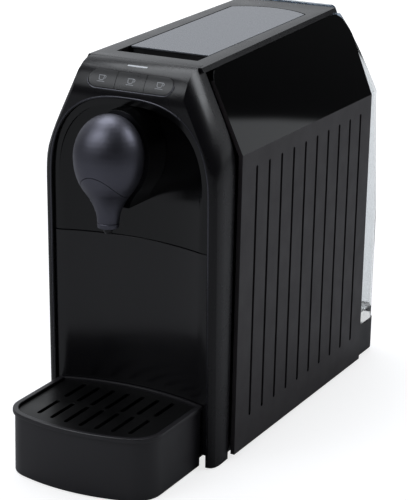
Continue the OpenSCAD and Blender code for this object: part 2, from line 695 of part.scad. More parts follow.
// one gear tooth centred on angle a, thinned for backlash
module tooth(z, a) {
    r = gear_m * z / 2;
    p = 90 / z * 0.84;
    rotate(a)
        polygon([for (q = [[r - 1.5 * gear_m, 1.5], [r - 0.6 * gear_m, 1.32], [r, 1], [r + 0.45 * gear_m, 0.78],
        [r + 0.85 * gear_m, 0.5], [r + 0.85 * gear_m, -0.5], [r + 0.45 * gear_m, -0.78], [r, -1],
        [r - 0.6 * gear_m, -1.32], [r - 1.5 * gear_m, -1.5]]) [q[0] * cos(p * q[1]), q[0] * sin(p * q[1])]]);
}
module gear_2d(z, a0, from, to) {
    circle(gear_m * z / 2 - 1.25 * gear_m);
    for (i = [from : to]) tooth(z, a0 + 360 / z * i);
}
module lever_arm() polygon([[pin_y - 4, pin_z], [pin_y - 4, pin_z - 14], [pin_y - 29, pin_z - 14],
    [pin_y - 29, deck_z(pin_y - 29) - 3], [pin_y - 36, deck_z(pin_y - 36) - 3], [pin_y - 36, pin_z - 19],
    [pin_y + 3, pin_z - 19], [pin_y + 3, pin_z]]);
module lever() color([0.1, 0.1, 0.11]) difference() {
    union() {
        // tray under the glossy plate, with ribs
        difference() {
            intersection() {
                along_x(-lever_w / 2 + 1.4, lever_w / 2 - 1.4) polygon([
                    [lever_front_y + 0.6, deck_z(lever_front_y) - lever_plate_t],
                    [lever_front_y + 0.6, deck_z(lever_front_y) - 7],
                    [lever_front_y + 9, deck_z(lever_front_y) - 8.5],
                    [lever_front_y + 12, deck_z(lever_front_y) - 6],
                    [pin_y - 18, deck_z(pin_y) - 6.4], [pin_y - 18, deck_z(pin_y - 18) - lever_plate_t]]);
                translate([0, 0, deck_h - 40]) linear_extrude(far) lever_plan(-1);
            }
            along_x(-lever_w / 2 + 4, lever_w / 2 - 4) polygon([
                [lever_front_y + 14, deck_z(lever_front_y) - 12],
                [lever_front_y + 14, deck_z(lever_front_y + 14) - lever_plate_t - 2],
                [pin_y - 21, deck_z(pin_y - 21) - lever_plate_t - 2], [pin_y - 21, deck_z(pin_y) - 12]]);
        }
        both_sides() along_x(lever_w / 2 - 10, lever_w / 2 - 5) lever_arm();
        translate([0, pin_y, pin_z]) rod_x(hub_r, -lever_w / 2 + 5, lever_w / 2 - 5);
        translate([0, pin_y, pin_z]) rotate([90, 0, 90])
            translate([0, 0, -gear_hw]) linear_extrude(2 * gear_hw)
            intersection() {
                gear_2d(teeth, mesh_a, -1, 4);
                polygon([[-1, 0.5], [-far, -far], [far, -far], [far, -far * 0.62], [4, 0.5]]);
            }
    }
    translate([0, pin_y, pin_z]) rod_x(lever_pin_r + run_fit, -far, far);
}
module lever_plate() color([0.42, 0.44, 0.47]) intersection() {
    along_x(-far / 2, far / 2) polygon([[lever_front_y, deck_z(lever_front_y)],
        [lever_front_y, deck_z(lever_front_y) - lever_plate_t], [far, deck_z(far) - lever_plate_t],
        [far, deck_z(far)]]);
    translate([0, 0, deck_h - 20]) linear_extrude(far) lever_plan(0);
}
pin_half = lever_w / 2 + 4;
module lever_pin() color([0.75, 0.75, 0.77])
    translate([0, pin_y, pin_z]) rod_x(lever_pin_r, -pin_half, pin_half);
module drive_gear() color([0.75, 0.73, 0.66])
    translate([0, gear_y, gear_z]) rotate([90, 0, 90]) difference() {
    union() {
        translate([0, 0, -gear_hw]) linear_extrude(2 * gear_hw)
            gear_2d(idler_teeth, mesh_a - 180 + 180 / idler_teeth, 0, idler_teeth - 1);
        both_sides_z() translate([0, 0, gear_hw + 0.6]) linear_extrude(5)
            gear_2d(teeth, 270, 0, teeth - 1);
        translate([0, 0, -gear_hw - 1]) cylinder(r = 4, h = 2 * gear_hw + 2);
    }
    cylinder(r = gear_shaft_r + 1.6 * run_fit, h = far, center = true);
}
module both_sides_z() { children(); mirror([0, 0, 1]) children(); }
gear_shaft_r = 2;
tower_x = gear_hw + 7.2;                       // inner face of the towers that hold the shafts
module gear_shaft() color([0.75, 0.75, 0.77])
    translate([0, gear_y, gear_z]) rod_x(gear_shaft_r, -tower_x - 4, tower_x + 4);

// ---- brew group ----
brew_front_y = finger_y + 19;                  // front face of the capsule space
capsule_len = 26;
piston_front_y = brew_front_y + capsule_len;
piston_len = 42;
piston_rear_y = piston_front_y + piston_len;
brew_rear_y = piston_rear_y + rack_stroke + 9;
brew_wall = 4;
rack_hw = 3.5;
tube_r = 3;
module rack_teeth() {
    pitch = PI * gear_m;
    for (i = [-1 : 6]) translate([gear_y - pitch / 2 - pitch * i, rack_z]) polygon([
        [-pitch * 0.37, -1.35 * gear_m], [-pitch * 0.21, 0], [-pitch * 0.11, 0.8 * gear_m],
        [pitch * 0.11, 0.8 * gear_m], [pitch * 0.21, 0], [pitch * 0.37, -1.35 * gear_m]]);
}
module piston_rack() color([0.75, 0.73, 0.66]) difference() {
    union() {
        both_sides() along_x(gear_hw + 1, gear_hw + 5) {
            translate([piston_rear_y - 14, rack_z - 7])
                square([gear_y + 5.6 - piston_rear_y + 14, 7 - 1.25 * gear_m]);
            rack_teeth();
        }
        box(-gear_hw - 5, gear_hw + 5, piston_rear_y - 14, piston_rear_y + 6, rack_z - 7, rack_z - 2);
        box(-gear_hw - 5, gear_hw + 5, piston_rear_y, piston_rear_y + 5, brew_z - 14, rack_z - 3);
    }
    translate([0, 0, brew_z]) rod_y(tube_r + 2, 0, far);
}
module brew_piston() color([0.2, 0.2, 0.21]) translate([0, 0, brew_z]) difference() {
    rod_y(piston_r, piston_front_y, piston_rear_y);
    rod_y(tube_r + run_fit, piston_front_y + 10, far);
    rod_y(1.2, piston_front_y - 1, far);
    difference() {
        rod_y(piston_r + 1, piston_front_y + 4, piston_front_y + 7);
        rod_y(piston_r - 2, piston_front_y + 3, piston_front_y + 8);
    }
    difference() {
        rod_y(piston_r - 3, piston_front_y + 18, far);
        rod_y(tube_r + 4, piston_front_y + 17, far);
    }
}
module piston_seal() color([0.5, 0.12, 0.08]) translate([0, 0, brew_z]) difference() {
    rod_y(piston_r - 0.02, piston_front_y + 4.1, piston_front_y + 6.9);
    rod_y(piston_r - 1.95, piston_front_y + 4, piston_front_y + 7);
}
brew_half_w = piston_r + run_fit + brew_wall;
module brew_housing() color([0.27, 0.27, 0.29]) difference() {
    union() {
        box(-brew_half_w, brew_half_w, brew_front_y - 5, brew_rear_y, shelf_z + shelf_t, chute_z);
        // towers for the gear shaft and the lever pin
        both_sides() {
            box(tower_x, tower_x + 4, brew_rear_y - 12, gear_y + 7, brew_z + 10, gear_z + 4.5);
            box(tower_x, tower_x + 4, gear_y - 6, gear_y + 7, shelf_z + shelf_t, gear_z + 4.5);
            box(pin_half - 3, pin_half + 1, pin_y - 6, chassis_rear_y - 0.3, shelf_z + shelf_t, pin_z + 4);
        }
        box(-pin_half - 1, pin_half + 1, gear_y + 2, chassis_rear_y - 0.3,
            shelf_z + shelf_t, shelf_z + shelf_t + 4);
    }
    translate([0, 0, brew_z]) rod_y(piston_r + run_fit, brew_front_y, brew_rear_y - 3);
    translate([0, 0, brew_z]) rod_y(tube_r + 0.1, brew_rear_y - 4, far);
    // slot where the capsule drops in, and the way out under it
    box(-piston_r - run_fit, piston_r + run_fit, brew_front_y, piston_front_y + rack_stroke, brew_z, far);
    box(-piston_r - run_fit, piston_r + run_fit, brew_front_y, piston_front_y + rack_stroke, 0, brew_z);
    // open top for the rack's bridge
    box(-gear_hw - 6, gear_hw + 6, piston_front_y, brew_rear_y - 3, brew_z, far);
    box(-gear_hw - 6, gear_hw + 6, piston_front_y, far, rack_z - 9, far);
    // hollow under the piston's bore
    box(-piston_r, piston_r, piston_front_y + rack_stroke + 6, brew_rear_y - 4, 0, brew_z - brew_half_w);
    translate([0, 0, duct_z]) rod_y(duct_r + 0.1, brew_front_y - 10, brew_front_y - 2);
    translate([0, 0, duct_z]) rod_y(1.5, brew_front_y - 10, brew_front_y + 1);
    translate([0, pin_y, pin_z]) rod_x(lever_pin_r, -far, far);
    translate([0, gear_y, gear_z]) rod_x(gear_shaft_r, -far, far);
}
chute_z = brew_z + brew_half_w - 1;
module capsule_chute() color([0.1, 0.1, 0.11]) difference() {
    box(-lever_w / 2 - 2, lever_w / 2 + 2, finger_y + 12, piston_front_y + rack_stroke + 5,
        chute_z, deck_h - finger_depth - 2);
    box(-piston_r, piston_r, brew_front_y, piston_front_y + rack_stroke, 0, far);
    both_sides()
        box(brew_half_w + 2, lever_w / 2, finger_y + 14, piston_front_y + rack_stroke + 3, chute_z + 2, far);
}

// ---- water path ----
inlet_rear_y = brew_rear_y + 8;
module water_inlet_tube() color([0.75, 0.75, 0.77]) translate([0, 0, brew_z]) difference() {
    rod_y(tube_r, piston_front_y + rack_stroke + 14, inlet_rear_y);
    rod_y(tube_r - 1, 0, far);
}
block_y0 = brew_rear_y + 15;
block_y1 = block_y0 + 44;
block_z = shelf_z + shelf_t + 8;
block_top = block_z + 34;
pump_x = -28;
pump_z = base_floor_z + 40;
pump_y0 = bay_rear_y + 26;
pump_y1 = pump_y0 + 60;
riser_y = block_y1 + 6;
// rods and balls along a list of points
module run(points, r) for (i = [0 : len(points) - 1]) {
    translate(points[i]) sphere(r + 0.4);
    if (i < len(points) - 1) {
        v = points[i + 1] - points[i];
        translate(points[i])
            rotate([0, acos(v[2] / norm(v)), atan2(v[1], v[0])]) cylinder(r = r, h = norm(v));
    }
}
module heater_block() color([0.7, 0.7, 0.72]) difference() {
    union() {
        box(-26, 26, block_y0, block_y1, block_z, block_top);
        for (i = [-4 : 4])
            box(i * 6 - 1, i * 6 + 1, block_y0 + 4, block_y1 - 4, block_top - 1, block_top + 3);
        for (sx = [-1, 1], y = [block_y0 + 6, block_y1 - 6])
            translate([sx * 20, y, shelf_z + shelf_t]) cylinder(r = 3, h = block_z - shelf_z);
        translate([0, block_y0 - 1 + 4, block_top - 1]) cylinder(r = 3.4, h = brew_z - block_top + 1);
        translate([0, 0, brew_z]) rod_y(3, inlet_rear_y + 2, block_y0 + 3);
        translate([0, block_y0 + 3, brew_z]) sphere(3.4, $fn = 32);
    }
    translate([pump_x + 8, 0, block_z + 20]) rod_y(hose_r + 1, block_y1 - 4, far);
}
module thermostat() color([0.15, 0.15, 0.15]) {
    translate([30.1, block_y0 + 22, block_z + 16]) rotate([0, -90, 0]) cylinder(r = 8, h = 4);
    box(30, 33, block_y0 + 17, block_y0 + 19, block_z + 12, block_z + 20);
    box(30, 33, block_y0 + 25, block_y0 + 27, block_z + 12, block_z + 20);
}
module brew_hose() color([0.85, 0.85, 0.85]) translate([0, 0, brew_z]) difference() {
    rod_y(tube_r + 2, inlet_rear_y - 6, block_y0 - 1);
    rod_y(tube_r + run_fit, 0, far);
}
module pump_body() color([0.75, 0.73, 0.66]) translate([pump_x, 0, pump_z]) difference() {
    union() {
        rod_y(pump_r, pump_y0 + 8, pump_y1 - 8);
        rod_y(9, pump_y0, pump_y1);
        rod_y(hose_r, pump_y0 - 5, pump_y0 + 1);
        rod_y(hose_r, pump_y1 - 1, pump_y1 + 5);
    }
    rod_y(6, pump_y0 + 6, pump_y1 - 6);
    rod_y(1.5, 0, far);
}
module pump_plunger() color([0.6, 0.6, 0.62]) translate([pump_x, 0, pump_z]) difference() {
    rod_y(6 - run_fit, pump_y0 + 12, pump_y1 - 12);
    rod_y(2, 0, far);
}
module pump_mounts() color([0.07, 0.07, 0.07]) difference() {
    for (y = [pump_y0 + 11, pump_y1 - 17])
        box(pump_x - pump_r - 2, pump_x + pump_r + 2, y, y + 6, base_floor_z, pump_z);
    translate([pump_x, 0, pump_z]) rod_y(pump_r + 0.1, 0, far);
}
module pump_hose() color([0.85, 0.85, 0.85]) run([[pump_x, pump_y1 + 5 + hose_r, pump_z],
    [pump_x + 8, riser_y, pump_z + 30], [pump_x + 8, riser_y, block_z + 20],
    [pump_x + 8, block_y1 - 4 + hose_r, block_z + 20]], hose_r);
meter_y = chassis_rear_y - 34;
meter_r = 13;
meter_top = hose_z + 8;
module flow_meter() color([0.2, 0.2, 0.22]) {
    difference() {
        translate([0, meter_y, base_floor_z]) cylinder(r = meter_r, h = meter_top - base_floor_z);
        translate([0, meter_y, base_floor_z + 2])
            cylinder(r = meter_r - 2.5, h = meter_top - base_floor_z - 4);
        translate([0, 0, hose_z]) rod_y(2, meter_y - far, meter_y + far);
    }
    translate([0, meter_y, base_floor_z + 1]) cylinder(r = 1, h = meter_top - base_floor_z - 2);
}
module flow_rotor() color([0.85, 0.4, 0.1]) translate([0, meter_y, base_floor_z + 2 + seat]) difference() {
    union() {
        cylinder(r = 2.6, h = meter_top - base_floor_z - 4 - 2 * seat);
        for (a = [0 : 60 : 300]) rotate(a) translate([1.5, -0.6, 0])
            cube([meter_r - 5, 1.2, meter_top - base_floor_z - 4 - 2 * seat]);
    }
    translate([0, 0, -1]) cylinder(r = 1 + run_fit, h = far);
}
module suction_hose() color([0.85, 0.85, 0.85]) {
    translate([0, 0, hose_z]) rod_y(hose_r, meter_y + meter_r, dock_y - valve_r);
    run([[0, meter_y - meter_r - hose_r, hose_z], [0, pump_y0 - 12, hose_z], [pump_x, pump_y0 - 12, hose_z],
        [pump_x, pump_y0 - 12, pump_z], [pump_x, pump_y0 - 5 - hose_r, pump_z]], hose_r);
}
module dock_seal() color([0.5, 0.12, 0.08]) translate([0, dock_y, seal_z]) difference() {
    cylinder(r = valve_r + 2.1, h = 3.6);
    translate([0, 0, -1]) cylinder(r = valve_r - 1, h = 6);
}

// ---- water tank ----
tank_z = dock_h + seat;
tank_front_y = cover_rear_y + 1.5;
tank_step_y = panel_rear_y + panel_bulge + 1.5;
tank_neck_hw = deck_w / 2 - 6;
tank_curve_z = 205;
tank_lean = 26;
module tank_plan(inset) {
    intersection() {
        dock_plan(inset + 0.8);
        translate([-far, tank_step_y + inset]) square([2 * far, far]);
    }
    translate([-tank_neck_hw + inset, tank_front_y + inset])
        square([2 * (tank_neck_hw - inset), tank_step_y - tank_front_y + 5]);
}
module tank_side(inset, z0) {
    y1 = rear_y - inset;
    polygon(concat([[0, z0], [y1, min(z0, dock_h)], [y1 - tank_lean, tank_curve_z]],
        [for (i = [1 : 14]) let (a = 80 * i / 14)
            [tank_front_y + inset + (y1 - tank_lean - tank_front_y - inset) * cos(a),
             tank_curve_z + (tank_top - inset - tank_curve_z) * sin(a)]],
        [[0, tank_curve_z + (tank_top - inset - tank_curve_z) * sin(80)]]));
}
module tank_form(inset, z0) intersection() {
    translate([0, 0, z0]) linear_extrude(far) tank_plan(inset);
    along_y(0, rear_y + 1) body_section(panel_t + 1.2 + inset, 0, tank_top + 5);
    along_x(-far / 2, far / 2) tank_side(inset, 0);
}
module water_tank() color([0.8, 0.85, 0.88, 0.4]) difference() {
    union() {
        intersection() {
            tank_form(0, tank_z);
            box(-far, far, 0, far, 0, tank_split);
        }
        translate([0, dock_y, seal_z + 3.6 + seat]) cylinder(r = valve_r + 1.8, h = tank_z - seal_z - 3);
    }
    tank_form(tank_wall, tank_z + tank_floor);
    translate([0, dock_y, 0]) cylinder(r = valve_r, h = tank_z + tank_floor + 1);
}
module tank_lid() color([0.4, 0.44, 0.5]) difference() {
    union() {
        intersection() {
            tank_form(0, tank_split + 0.2);
            box(-far, far, 0, far, 0, tank_top);
        }
        intersection() {
            tank_form(tank_wall + 0.25, tank_split - 4);
            box(-far, far, 0, far, 0, tank_split + 1);
        }
    }
    intersection() {
        tank_form(tank_wall + 1.8, tank_split - 6);
        box(-far, far, 0, far, 0, tank_top - 5);
    }
}
module tank_valve() color([0.2, 0.2, 0.22]) translate([0, dock_y, 0]) {
    translate([0, 0, tank_z + tank_floor + 0.2]) cylinder(r = valve_r + 3, h = 1.6);
    translate([0, 0, tank_z - 2]) cylinder(r = 1.4, h = tank_floor + 3);
    translate([0, 0, tank_z - 4]) cylinder(r = valve_r - run_fit, h = 2.4);
}

// ---- drawer: tray, grid, front, sled and bin ----
tray_z = 1;
tray_rear_r = hollow_r - 2;                    // rear wall follows the concave front
tray_lip = 1.5;
module tray_outline(inset, lip) {
    w = tray_w / 2 - inset + lip;
    yf = tray_front_y + tray_lip + inset - lip;
    big = tray_front_r - inset + lip;
    rc = tray_corner_r - inset + lip;
    cy = yf + big - sqrt(pow(big - rc, 2) - pow(w - rc, 2));
    a = atan2(cy - yf - big, w - rc);
    polygon(concat([[w, 0]], arc(w - rc, cy, rc, 0, a, 8), arc(0, yf + big, big, a, -180 - a, 16),
        arc(-w + rc, cy, rc, -180 - a, -180, 8), [[-w, 0]]));
}
module tray_plan(inset, lip) intersection() {
    tray_outline(inset, lip);
    translate([0, lean_y + recess_sag - hollow_r]) circle(tray_rear_r - inset, $fn = 360);
}
grid_z = tray_h - grid_drop - grid_t;
module drip_tray() color([0.15, 0.15, 0.165]) difference() {
    union() {
        translate([0, 0, tray_z]) linear_extrude(tray_h - tray_z) tray_plan(0, 0);
        translate([0, 0, tray_h - 3]) linear_extrude(3) tray_plan(0, tray_lip);
    }
    translate([0, 0, grid_z - 0.05]) linear_extrude(far) tray_plan(tray_wall, 0);
    translate([0, 0, tray_z + tray_wall]) linear_extrude(far) tray_plan(tray_wall + 2.6, 0);
}
slot_rows = [[22, 50], [56, 84]];              // slot ends behind the tray's front
module cup_grid() color([0.03, 0.03, 0.03]) difference() {
    translate([0, 0, grid_z]) linear_extrude(grid_t) tray_plan(tray_wall + seat, 0);
    n = floor((tray_w / 2 - 10) / slot_pitch);
    for (i = [-n : n], row = slot_rows) {
        x = i * slot_pitch;
        y0 = tray_front_y + row[0] - 6 + pow(x, 2) / 260;
        y1 = tray_front_y + row[1] - 6;
        translate([0, 0, grid_z - 1]) linear_extrude(grid_t + 2) {
            translate([x - slot_w / 2, y0]) square([slot_w, y1 - y0]);
            for (y = [y0, y1]) translate([x, y]) circle(slot_w / 2, $fn = 24);
        }
    }
}
module drawer_sled() color([0.12, 0.12, 0.13]) {
    difference() {
        translate([-bin_w / 2 - 3, lean_y - 4, sled_top - 2])
            cube([bin_w + 6, bay_rear_y - 1.5 - lean_y + 4, 2]);
        translate([0, lean_y + recess_sag - hollow_r, 0])
            cylinder(r = tray_rear_r + 0.05, h = far, $fn = 360);
        box(-bin_w / 2 + 12, bin_w / 2 - 12, bin_front_y + 12, bay_rear_y - 14, 0, far);
    }
}
module capsule_bin() color([0.1, 0.1, 0.11]) difference() {
    translate([0, bin_front_y + bin_d / 2, sled_top]) linear_extrude(bin_h) round_rect(bin_w, bin_d, 8);
    translate([0, bin_front_y + bin_d / 2, sled_top + bin_wall])
        linear_extrude(far) round_rect(bin_w - 2 * bin_wall, bin_d - 2 * bin_wall, 8 - bin_wall);
}

// ---- electrics ----
board_x = base_half_w - chassis_t - 6;
module power_board() color([0.1, 0.35, 0.2]) {
    box(board_x - 1.6, board_x, bay_rear_y + 20, chassis_rear_y - 22, 14, shelf_z - 12);
    for (y = [bay_rear_y + 24, chassis_rear_y - 26], z = [18, shelf_z - 16])
        translate([0, y, z]) rod_x(2.5, board_x - 0.5, board_x + 6);
    translate([0, bay_rear_y + 36, 50]) rod_x(9, board_x - 22, board_x - 1);
    box(board_x - 17, board_x - 1, bay_rear_y + 52, bay_rear_y + 78, 40, 62);
    box(board_x - 25, board_x - 1, bay_rear_y + 34, bay_rear_y + 66, 84, 112);
}
switch_face_y = rear_y - 2;
switch_pivot_y = switch_face_y - 3;
module switch_frame() color([0.05, 0.05, 0.05]) translate([-switch_x, 0, switch_z]) {
    difference() {
        box(-switch_w / 2 + 0.2, switch_w / 2 - 0.2, switch_face_y - 10, switch_face_y, -switch_hh / 2 + 0.2,
            switch_hh / 2 - 0.2);
        box(-switch_w / 2 + 1.4, switch_w / 2 - 1.4, switch_face_y - 8.6, far, -switch_hh / 2 + 1.4,
            switch_hh / 2 - 1.4);
    }
    translate([0, switch_pivot_y, -switch_hh / 2 + 1]) cylinder(r = 1, h = switch_hh - 2);
}
rocker_tilt = 8;
module power_switch() color([0.55, 0.08, 0.06])
    translate([-switch_x, switch_pivot_y, switch_z]) difference() {
    translate([0, 0, -switch_hh / 2 + 1.7]) linear_extrude(switch_hh - 3.4) rotate(-rocker_tilt)
        polygon([[-7.8, 3.6], [0, 2.4], [7.8, 3.6], [7.8, 0], [0, -2.6], [-7.8, 0]]);
    translate([0, 0, -far / 2]) cylinder(r = 1 + run_fit, h = far);
}
module cord_gland() color([0.05, 0.05, 0.05]) translate([switch_x, 0, switch_z]) difference() {
    union() {
        rod_y(gland_r - 0.1, rear_y - 12, rear_y - 2);
        rod_y(gland_r + 2, rear_y - 7, rear_y - 5);
    }
    rod_y(3.2, 0, far);
}

base_pan();
rubber_feet();
chassis();
rear_cover();
side_panel_left();
side_panel_right();
front_frame();
recess_panel();
spout_collar();
spout_cover();
spout_funnel();
coffee_outlet();
button_small();
button_medium();
button_large();
icon_small();
icon_medium();
icon_large();
status_light();
button_bracket();
control_board();
button_switches();
lever();
lever_plate();
lever_pin();
drive_gear();
gear_shaft();
piston_rack();
brew_piston();
piston_seal();
brew_housing();
capsule_chute();
water_inlet_tube();
heater_block();
thermostat();
brew_hose();
pump_body();
pump_plunger();
pump_mounts();
pump_hose();
flow_meter();
flow_rotor();
suction_hose();
dock_seal();
water_tank();
tank_lid();
tank_valve();
drip_tray();
cup_grid();
drawer_front();
drawer_sled();
capsule_bin();
power_board();
power_switch();
switch_frame();
cord_gland();
base_screws();
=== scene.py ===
import json
import math
import bpy
import bmesh
from mathutils import Vector, Matrix


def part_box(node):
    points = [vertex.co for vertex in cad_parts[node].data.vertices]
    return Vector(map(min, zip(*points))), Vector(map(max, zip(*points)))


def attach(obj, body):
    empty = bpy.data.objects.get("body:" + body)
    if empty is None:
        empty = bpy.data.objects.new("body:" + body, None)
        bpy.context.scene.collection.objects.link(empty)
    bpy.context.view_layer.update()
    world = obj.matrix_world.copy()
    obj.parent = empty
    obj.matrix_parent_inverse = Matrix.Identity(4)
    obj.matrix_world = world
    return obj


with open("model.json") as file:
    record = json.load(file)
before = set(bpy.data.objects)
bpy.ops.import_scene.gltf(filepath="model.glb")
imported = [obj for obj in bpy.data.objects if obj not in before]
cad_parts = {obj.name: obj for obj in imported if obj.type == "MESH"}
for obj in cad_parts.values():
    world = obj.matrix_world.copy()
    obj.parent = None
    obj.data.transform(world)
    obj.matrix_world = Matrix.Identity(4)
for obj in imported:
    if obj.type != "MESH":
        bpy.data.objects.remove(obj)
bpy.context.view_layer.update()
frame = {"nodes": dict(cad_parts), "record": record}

# A pod coffee machine, in metres. Its front faces -Y, its tank is at +Y, and its feet stand on z = 0.
NODES = frame["nodes"]
PHOTO_HEIGHT = 500  # pixels, the longer side of the photograph
STUDIO_WHITE = (0.93, 0.96, 1.0)  # colour of the lamps and of the bright parts of the world

# ---- camera: fitted to the straight edges of the photograph ----
AZIMUTH, ELEVATION, ROLL = (math.radians(a) for a in (27.12, 17.36, 1.33))
LENS_MM, SENSOR_MM = 136.8, 36.0
CAM_X, CAM_AHEAD, CAM_Z = 0.59207, 1.07365, 0.52293  # AHEAD is measured from the side panel's front edge
PANEL_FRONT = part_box("side_panel_right")[0][1]

cam_data = bpy.data.cameras.new("camera")
cam_data.lens, cam_data.sensor_width = LENS_MM, SENSOR_MM
cam_data.clip_start, cam_data.clip_end = 0.01, 50.0
cam = bpy.data.objects.new("camera", cam_data)
bpy.context.scene.collection.objects.link(cam)
back = Vector((math.sin(AZIMUTH) * math.cos(ELEVATION),
               -math.cos(AZIMUTH) * math.cos(ELEVATION),
               math.sin(ELEVATION)))
level = Vector((math.cos(AZIMUTH), math.sin(AZIMUTH), 0))
upright = back.cross(level)
right = math.cos(ROLL) * level + math.sin(ROLL) * upright
up = math.cos(ROLL) * upright - math.sin(ROLL) * level
turn = Matrix((right, up, back)).transposed().to_4x4()
cam.matrix_world = Matrix.Translation((CAM_X, PANEL_FRONT - CAM_AHEAD, CAM_Z)) @ turn
bpy.context.scene.camera = cam


# ---- node trees ----
def fill(tree, socket, value):
    """Link a value that comes out of another node, or set a plain one."""
    if isinstance(value, bpy.types.NodeSocket):
        tree.links.new(value, socket)
    else:
        socket.default_value = value


def add(tree, kind, inputs=None, **settings):
    """A new node with its settings, and with its inputs filled."""
    node = tree.nodes.new(kind)
    for key, value in settings.items():
        setattr(node, key, value)
    for socket, value in (inputs or {}).items():
        fill(tree, node.inputs[socket], value)
    return node


class Finish:
    """A material, with short calls that add nodes to it."""

    def __init__(self, name):
        self.name = name
        self.mat = bpy.data.materials.new("look_" + name)
        self.mat.use_nodes = True
        self.tree = self.mat.node_tree
        self.bsdf = self.tree.nodes["Principled BSDF"]
        self.coord = self.add("ShaderNodeTexCoord").outputs["Object"]

    def add(self, kind, inputs=None, **settings):
        return add(self.tree, kind, inputs, **settings)

    def give(self, socket, value):
        """Fill one of the shader's own inputs."""
        fill(self.tree, self.bsdf.inputs[socket], value)

    def calc(self, kind, *values):
        return self.add("ShaderNodeMath", dict(enumerate(values)), operation=kind).outputs[0]

    def weigh(self, a, weight_a, b, weight_b):
        """a * weight_a + b * weight_b"""
        return self.calc("ADD", self.calc("MULTIPLY", a, weight_a), self.calc("MULTIPLY", b, weight_b))

    def vector(self, kind, inputs, output="Vector"):
        return self.add("ShaderNodeVectorMath", inputs, operation=kind).outputs[output]

    def axes(self, vector):
        return self.add("ShaderNodeSeparateXYZ", {0: vector}).outputs

    def noise(self, scale, detail=3.0, rough=0.5, vector=None):
        inputs = {"Vector": vector or self.coord, "Scale": scale, "Detail": detail, "Roughness": rough}
        return self.add("ShaderNodeTexNoise", inputs).outputs["Fac"]

    def spread(self, value, low, high, low_in=0.3, high_in=0.7):
        """The value between low_in and high_in, stretched to lie between low and high."""
        inputs = {"Value": value, "From Min": low_in, "From Max": high_in, "To Min": low, "To Max": high}
        return self.add("ShaderNodeMapRange", inputs).outputs["Result"]

    def mix(self, kind, share, a, b):
        return self.add("ShaderNodeMix", {"Factor": share, "A": a, "B": b}, data_type=kind).outputs["Result"]

    def colors(self, share, a, b):
        return self.mix("RGBA", share, (*a, 1), (*b, 1))

    def bump(self, height, strength, distance):
        inputs = {"Height": height, "Strength": strength, "Distance": distance}
        self.grain = self.add("ShaderNodeBump", inputs)
        self.give("Normal", self.grain.outputs["Normal"])


# ---- finishes ----
TONE_SCALE, SMEAR_SCALE, BRUSH_SCALE, HAZE_SCALE = 14.0, 60.0, 1200.0, 35.0
SLOW_DETAIL, FINE_DETAIL, FINE_ROUGH = 2.0, 4.0, 0.6
GRAIN_DEPTH, BRUSH_DEPTH = 0.00012, 0.0001
PANEL_BUMP = 0.1


def plastic(name, color, rough, vary=0.12, grain=900.0, bump=0.12, spec=0.5, metallic=0.0, clear=0.0):
    """Moulded plastic: fine grain in the bump, slow changes of tone and gloss."""
    m = Finish(name)
    dark = tuple(c * (1 - vary) for c in color)
    pale = tuple(min(1.0, c * (1 + vary)) for c in color)
    m.give("Base Color", m.colors(m.noise(TONE_SCALE, SLOW_DETAIL), dark, pale))
    m.give("Roughness", m.spread(m.noise(SMEAR_SCALE), rough * 0.9, rough * 1.12))
    m.bump(m.noise(grain, FINE_DETAIL, FINE_ROUGH), bump, GRAIN_DEPTH)
    m.give("Specular IOR Level", spec)
    m.give("Metallic", metallic)
    m.give("Transmission Weight", clear)
    return m


def metal(name, color, rough, along=(1, 1, 1), bump=0.08, metallic=1.0):
    """Brushed or cast metal: a stretched noise in the tone, the gloss and the bump."""
    m = Finish(name)
    stretched = m.add("ShaderNodeMapping", {"Vector": m.coord, "Scale": along}).outputs["Vector"]
    lines = m.noise(BRUSH_SCALE, FINE_DETAIL, FINE_ROUGH, stretched)
    m.give("Base Color", m.colors(lines, tuple(c * 0.9 for c in color), color))
    m.give("Roughness", m.spread(lines, rough * 0.85, rough * 1.2))
    if bump:
        m.bump(lines, bump, BRUSH_DEPTH)
    m.give("Metallic", metallic)
    return m


def clear_plastic(name, dark, pale, rough_low, rough_high, clear):
    """See-through plastic, with a slow haze in its tone and gloss."""
    m = Finish(name)
    haze = m.noise(HAZE_SCALE, SLOW_DETAIL)
    m.give("Base Color", m.colors(haze, dark, pale))
    m.give("Roughness", m.spread(haze, rough_low, rough_high))
    m.give("Transmission Weight", clear)
    return m


